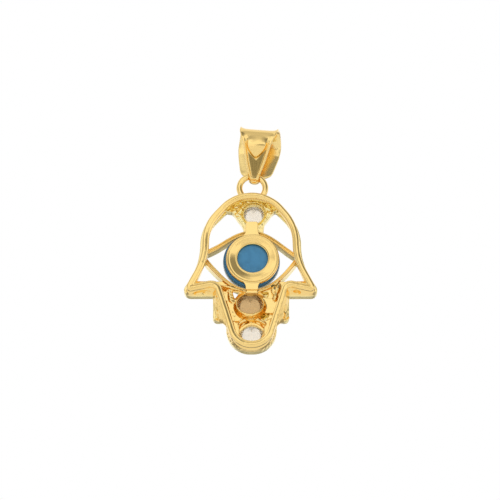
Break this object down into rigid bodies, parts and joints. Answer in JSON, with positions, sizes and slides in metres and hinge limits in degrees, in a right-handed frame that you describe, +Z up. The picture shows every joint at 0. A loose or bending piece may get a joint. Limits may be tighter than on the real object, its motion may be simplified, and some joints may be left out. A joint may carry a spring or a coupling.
{
  "type": "hamsa pendant",
  "caption": "Gold pendant shaped like an open hand, pierced round a blue glass eye with white stones, hanging by its loop from a folded tapered bail.",
  "frame": {"origin": "inside top of the bail's fold, where the chain bears, midway across the bail", "axes": "+Z up along the hanging pendant, +Y from its back to its decorated front, +X to the right as seen from its back"},
  "size_m": [0.0141, 0.0038, 0.0252],
  "materials": {
    "gold": "polished yellow gold of about 22 carat",
    "eye_glass": "opaque blue glass with a smooth gloss",
    "white_stone": "clear cut stone"
  },
  "bodies": {
    "bail": {"bail": "gold"},
    "drop": {"hand": "gold", "eye_cabochon": "eye_glass", "top_stone": "white_stone", "middle_stone": "white_stone", "bottom_stone": "white_stone"}
  },
  "joints": [
    {"name": "drop_swing", "type": "hinge", "parent": "bail", "child": "drop", "pos_m": [-0.00053, 0, -0.00477], "axis": [1, 0, 0], "range_deg": [-60, 50]}
  ]
}
